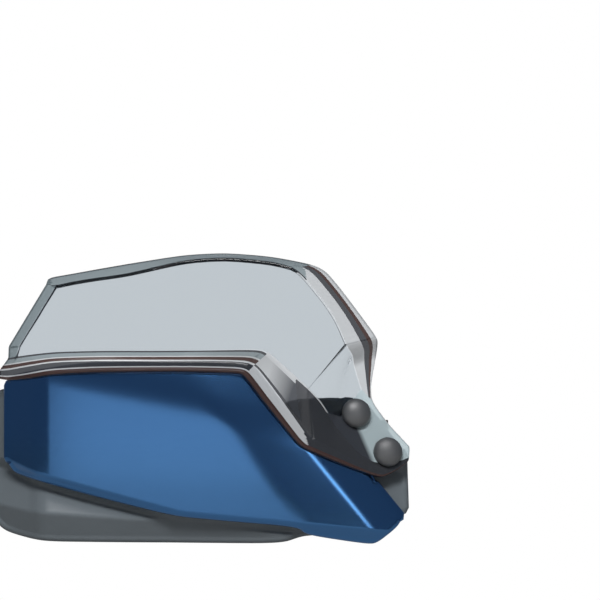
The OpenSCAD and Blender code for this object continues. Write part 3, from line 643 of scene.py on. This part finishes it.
def base_rings(loop, normals, wall):
    """The edge of the base shell, whose wall deepens to the bar end, where it ends on the lug."""
    edge = edge_rings(loop, normals, BASE_EDGE_R - wall, BASE_RETURN)
    start, last = edge[-2], edge[-1]
    lug_r = LUG_R - wall
    blend_length = SHELL_REACH - LUG_BLEND_X - BASE_EDGE_R
    share = np.clip((-loop[:, 0] - LUG_BLEND_X) / blend_length, 0, 1) ** 2
    target = np.stack([last[:, 0], np.zeros(len(last)), np.sign(last[:, 2]) * lug_r], 1)
    ends = last + (target - last) * share[:, None]
    at_end = loop[:, 0] < BASE_EDGE_R - SHELL_REACH + NEAR
    turn = lug_turns(loop[:, 2])
    ends[at_end, 1] = (lug_r * np.cos(turn))[at_end]
    ends[at_end, 2] = (lug_r * np.sin(turn))[at_end]
    return edge[:-1] + [start + (ends - start) * k / LUG_RINGS for k in range(1, LUG_RINGS + 1)]


def base_shell():
    rows = plan_rows(BASE_STATIONS, BASE_EDGE_R)
    outer = on_surface(rows, base_depth, 0)
    inner = on_surface(rows, base_depth, BASE_WALL)
    normals = loop_normals(border(outer))
    obj = shell_object("base_skin", outer, inner, base_rings(border(outer), normals, 0),
                       base_rings(border(inner), normals, BASE_WALL))
    obj.data.materials.append(MATERIALS["shell"])
    return obj


# The deflector goes through seven knots: cut line, foot, fold, knee, bend, lip and rim's edge
FOLD, BEND, LIP = 2, 4, 5
# Bands between them, as (from, to, rows, material outboard, along the slanting side, on the tab);
# the pale bands are painted highlights and the dark ones painted shade
SHEET_BANDS = (
    (0, 0.3, 2, "edge", "edge", "edge"),
    (0.3, 0.42, 1, "gloss", "gloss", "shade"),
    (0.42, 0.7, 2, "shade", "gloss", "shade"),
    (0.7, 1, 2, "shade", "gloss", "shade"),
    (1, 1.12, 2, "gloss", "shade", "shade"),
    (1.12, 1.4, 3, "edge", "riser", "shade"),
    (1.4, 1.5, 1, "gloss", "riser", "shade"),
    (1.5, 1.85, 3, "smoke_and_shade", "riser", "shade"),
    (1.85, 2, 2, "shade", "gloss", "shade"),
    (2, 2.15, 2, "panel", "gloss", "tab"),
    (2.15, 3, 5, "panel", "panel", "tab"),
    (3, 4, 24, "panel", "panel", "tab"),
    (4, 4.12, 2, "shade", "gloss", "tab"),
    (4.12, 5, 6, "smoke_and_shade", "gloss", "tab"),
    (5, 5.4, 4, "smoke_and_shade", "shade", "tab"),
    (5.4, 5.65, 2, "smoke_and_shade", "edge", "tab"),
    (5.65, 5.9, 2, "smoke_and_shade", "gloss", "tab"),
    (5.9, 6, 2, "edge", "gloss", "gloss"),
)
SHEET_MATERIALS = ("panel", "clear", "smoke_and_shade", "gloss", "shade", "edge", "tab", "riser")
# Stations where the slanting side and the tab begin, and how far this moves from knot to knot
SLANT_FROM = 7.8
SLANT_LEAN = 0.5
TAB_FROM = 12.5
TAB_LEAN = 0.6
TAB_FOOT_FROM = 11.6
END_BAND = 1
# Radius of a crease across the sheet, and the largest share of a strip's width that it takes up
CREASE_R = 1.4
CREASE_SHARE = 0.4


def sheet_lines():
    """The deflector's lines in space, from the cut line to the rim's edge."""
    cut, foot, fold, bend, edge = (rail(SHEET_STATIONS, k) for k in range(5))
    share = refine(resample([[s[5]] for s in SHEET_STATIONS]))[:, 0]
    station = np.arange(len(cut)) / (ALONG * REFINE)
    end_back = RIM_BACK * np.clip(1 - station, 0, 1)
    kink = SIDE_KINK * np.clip(1 - station / KINK_STATIONS, 0, 1)
    knee = fold + (bend - fold) * KNEE_SHARE - np.stack([kink, 0 * kink], 1)
    lip = bend + (edge - bend) * LIP_SHARE

    def low(p):
        on_cover = flange_depth(p[:, 0], p[:, 1])
        return on_cover + (np.maximum(on_cover, tab_depth(p[:, 0], p[:, 1])) - on_cover) * share

    def high(p, back):
        panel = panel_depth(p[:, 0], p[:, 1]) - np.maximum(back, end_back)
        return panel + (tab_depth(p[:, 0], p[:, 1]) - panel) * share

    lines = [(cut, low(cut)), (foot, low(foot)),
             (fold, high(fold, 0)), (knee, high(knee, 0)), (bend, high(bend, 0)),
             (lip, high(lip, RIM_BACK)), (edge, high(edge, RIM_BACK + LIP_BACK))]
    return [np.stack([p[:, 0], -d, p[:, 1]], 1) for p, d in lines]


def sheet_row(lines, t):
    """The line at a place between the knots, with each crease rounded by a small radius."""
    k = min(int(math.floor(t)), len(lines) - 2)
    f = t - k
    point = lines[k] * (1 - f) + lines[k + 1] * f
    for knot in (k, k + 1):
        if 0 < knot < len(lines) - 1:
            middle = lines[knot]
            before = np.linalg.norm(middle - lines[knot - 1], axis=1)
            after = np.linalg.norm(lines[knot + 1] - middle, axis=1)
            reach = np.minimum(CREASE_R, CREASE_SHARE * np.minimum(before, after))
            away = np.linalg.norm(point - middle, axis=1)
            half = away / (2 * reach)
            s = (0.5 - half if knot == k + 1 else 0.5 + half)[:, None]
            a = middle + (lines[knot - 1] - middle) * (reach / before)[:, None]
            b = middle + (lines[knot + 1] - middle) * (reach / after)[:, None]
            curve = (1 - s) ** 2 * a + 2 * s * (1 - s) * middle + s ** 2 * b
            point = np.where((away < reach)[:, None], curve, point)
    return point


def grid_normals(grid):
    """Directions out of the front of a grid."""
    along = np.gradient(grid, axis=1)
    up = np.gradient(grid, axis=0)
    normals = np.cross(along, up)
    return normals / np.linalg.norm(normals, axis=2)[:, :, None]


def band_places():
    """Places of the rows between the knots, denser at the creases, and each strip's materials."""
    places, strips = [0.0], []
    for start, end, count, *zones in SHEET_BANDS:
        for k in range(1, count + 1):
            t = k / count
            if end - start == 1:
                t = 3 * t * t - 2 * t ** 3
            places.append(start + (end - start) * t)
            strips.append(zones)
    return places, strips


def sheet_finish(place, station, zones):
    """Material of a cell, with its band's painted highlight or shade: outboard, along the slanting
    side, on the tab, or at the outboard end, which takes the rim's painted shade.
    """
    if FOLD <= place < BEND and station < END_BAND:
        return "smoke_and_shade"
    slant_from = SLANT_FROM
    if BEND <= place < LIP:
        slant_from += SLANT_LEAN * (LIP - place)
    tab_from = TAB_FROM + TAB_LEAN * (place - FOLD) if place >= FOLD else TAB_FOOT_FROM - place
    return zones[int(station >= slant_from) + int(station >= tab_from)]


def wind_deflector():
    lines = sheet_lines()
    places, strips = band_places()
    outer = np.array([sheet_row(lines, place) for place in places])
    inner = outer - SHEET_T * grid_normals(outer)
    obj = shell_object("deflector_sheet", outer, inner, [], [])
    for name in SHEET_MATERIALS:
        obj.data.materials.append(MATERIALS[name])
    n, m = outer.shape[0] - 1, outer.shape[1] - 1
    front = [sheet_finish(place, i / (ALONG * REFINE), zones)
             for place, zones in zip(places, strips) for i in range(m)]
    back = ["panel" if zones[0] == "panel" else "clear" for zones in strips for _ in range(m)]
    rim = ["edge"] * (len(obj.data.polygons) - 2 * n * m)
    indices = [SHEET_MATERIALS.index(name) for name in front + back + rim]
    obj.data.polygons.foreach_set("material_index", indices)
    return obj


# Fasteners and brackets: the finish of each node, and the nodes that move with the bolts
NODE_FINISH = {
    "cap_cup_upper": "cup", "cap_cup_lower": "cup",
    "dome_cap_upper": "cap", "dome_cap_lower": "cap",
    "deflector_bolt_upper": "zinc", "deflector_bolt_lower": "zinc",
    "tab_spacer_upper": "rubber", "tab_spacer_lower": "rubber",
    "lock_nut_upper": "zinc", "lock_nut_lower": "zinc",
    "mounting_arm": "alloy", "clamp_cap": "alloy",
    "clamp_screws": "zinc", "cover_screws": "zinc",
    "bar_end_washer": "zinc", "bar_end_bolt": "zinc",
    "bar_end_weight": "dark_steel", "expander_sleeve": "rubber", "expander_nut": "zinc",
}
SHIFTED = ("cap_cup", "dome_cap", "deflector_bolt", "tab_spacer", "lock_nut", "mounting_arm")
SHARP_ANGLE = 35


def shifted_piece(name):
    """A copy of a node's mesh, its bolt end moved to the photo's place and its clamp end kept."""
    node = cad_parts[name]
    mesh = node.data.copy()
    mesh.transform(node.matrix_world)
    start, end = ARM_BEND
    for vertex in mesh.vertices:
        share = min(max((-vertex.co.y / MM - start) / (end - start), 0), 1)
        vertex.co += Vector(BOLT_SHIFT) * MM * (3 * share ** 2 - 2 * share ** 3)
    obj = link(name + "_fitted", mesh)
    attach(obj, "root")
    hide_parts(name)
    return obj


def finish_nodes():
    """Gives each node of the CAD its finish, and rounds its shading between sharp edges."""
    for name, finish in NODE_FINISH.items():
        obj = shifted_piece(name) if name.startswith(SHIFTED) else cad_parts[name]
        obj.data.materials.clear()
        obj.data.materials.append(MATERIALS[finish])
        obj.data.polygons.foreach_set("use_smooth", [True] * len(obj.data.polygons))
        obj.data.set_sharp_from_angle(angle=math.radians(SHARP_ANGLE))


# Studio, in metres: the floor, and the distances between which it turns from grey to white
FLOOR_Z = -0.32
FLOOR_HALF = 14
FLOOR_COLOUR = (0.38, 0.38, 0.38)
FLOOR_FADE = (0.5, 1.6)
WHITE = (1, 1, 1)
DARK_ROOM = (0.09, 0.105, 0.13)
SOFT_FILL = (0.2, 0.205, 0.21)
# Y of a unit direction where the white backdrop behind the guard starts, and where it is full
BACKDROP_Y = (0.85, 0.97)
# What the lamps are turned to
TARGET = Vector((-0.11, -0.09, 0.03))


def white_rays(tree, behind):
    """One for the camera's rays, and the given share for the rays seen in gloss and glass."""
    path = tree.nodes.new("ShaderNodeLightPath").outputs
    white = path["Is Camera Ray"]
    for kind in ("Is Glossy Ray", "Is Transmission Ray"):
        white = maths(tree, "MAXIMUM", white, maths(tree, "MULTIPLY", path[kind], behind))
    return white


def behind_share(tree, way):
    """How far a direction points straight behind the guard."""
    split = add_node(tree, "ShaderNodeSeparateXYZ", {0: way})
    return map_range(tree, split.outputs["Y"], *BACKDROP_Y)


def studio_floor():
    """A pale floor with the guard's shadow, which runs into the white background further out."""
    mat, tree, bsdf = new_material("studio_floor")
    set_inputs(tree, bsdf, {"Base Color": FLOOR_COLOUR, "Roughness": 0.9})
    place = coordinates(tree)
    distance = vector_maths(tree, "LENGTH", place)["Value"]
    far = map_range(tree, distance, *FLOOR_FADE, easing="SMOOTHSTEP")
    way = vector_maths(tree, "NORMALIZE", place)["Vector"]
    share = maths(tree, "MULTIPLY", far, white_rays(tree, behind_share(tree, way)))
    white = tree.nodes.new("ShaderNodeEmission").outputs[0]
    mix = add_node(tree, "ShaderNodeMixShader", {0: share, 1: bsdf.outputs[0], 2: white})
    set_inputs(tree, tree.nodes["Material Output"], {"Surface": mix.outputs[0]})
    mesh = bpy.data.meshes.new("studio_floor")
    corners = [(x * FLOOR_HALF, y * FLOOR_HALF, FLOOR_Z)
               for x, y in ((-1, -1), (1, -1), (1, 1), (-1, 1))]
    mesh.from_pydata(corners, [], [(0, 1, 2, 3)])
    mesh.materials.append(mat)
    link("studio_floor", mesh)


def studio_world():
    """White for the camera and straight behind the guard, and dim for soft fill light."""
    world = bpy.data.worlds.new("studio")
    bpy.context.scene.world = world
    world.use_nodes = True
    tree = world.node_tree
    path = tree.nodes.new("ShaderNodeLightPath").outputs
    fill = colour_mix(tree, path["Is Diffuse Ray"], DARK_ROOM, SOFT_FILL)
    behind = behind_share(tree, coordinates(tree, "Generated"))
    colour = colour_mix(tree, white_rays(tree, behind), fill, WHITE)
    set_inputs(tree, tree.nodes["Background"], {"Color": colour})


def area_light(name, direction, distance, size, energy, glossy=True, diffuse=True, turn=0):
    """A soft light in a direction from the target, turned towards it. It is for gloss, for diffuse
    light, or for both, and the camera doesn't see it."""
    light = bpy.data.lights.new(name, "AREA")
    light.shape = "RECTANGLE"
    light.size, light.size_y = size
    light.energy = energy
    obj = link(name, light)
    away = Vector(direction).normalized()
    obj.location = TARGET + away * distance
    aim = (-away).to_track_quat("-Z", "Y")
    obj.rotation_euler = (aim @ Quaternion((0, 0, 1), math.radians(turn))).to_euler()
    obj.visible_camera = False
    obj.visible_glossy = glossy
    obj.visible_diffuse = diffuse
    obj.visible_transmission = glossy


def studio_lights():
    # Direction, distance, size and energy: three lights for gloss alone, and three for diffuse fill
    area_light("front_box", (-0.149, -1, -0.03), 3.0, (1.66, 1.5), 4.5, diffuse=False)
    area_light("crease_strip", (0.62, -1, 0.17), 2.6, (0.34, 0.85), 2.1, diffuse=False, turn=45)
    area_light("top_box", (0.12, -1, 1.5), 2.6, (1.5, 0.9), 25.0, diffuse=False)
    area_light("fill_front", (-0.05, -1, 0.7), 3.0, (1.2, 0.6), 76.0, glossy=False)
    area_light("fill_left", (-1, -0.3, 0.2), 3.0, (1.5, 1.5), 1.0, glossy=False)
    area_light("fill_back", (0.3, 1, 0.2), 3.0, (2.0, 2.0), 26.0, glossy=False)


# Camera: a long lens straight ahead of the guard
CAMERA_AIM = Vector((-0.049, -0.09, 0.1054))
CAMERA_DISTANCE = 4.5
VIEW_WIDTH = 0.408
SENSOR = 36


def camera():
    data = bpy.data.cameras.new("camera")
    data.sensor_width = SENSOR
    data.lens = SENSOR * CAMERA_DISTANCE / VIEW_WIDTH
    data.clip_end = 100
    obj = link("camera", data)
    obj.location = CAMERA_AIM - Vector((0, CAMERA_DISTANCE, 0))
    obj.rotation_euler = (math.pi / 2, 0, 0)
    bpy.context.scene.camera = obj


bpy.context.scene.view_settings.view_transform = "Standard"
for piece, node, slot in (
    (painted_cover(), "painted_cover", "painted_plastic"),
    (base_shell(), "base_shell", "dark_plastic"),
    (wind_deflector(), "wind_deflector", "clear_plastic"),
):
    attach(piece, "root")
    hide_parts(node)
finish_nodes()
studio_floor()
studio_world()
studio_lights()
camera()
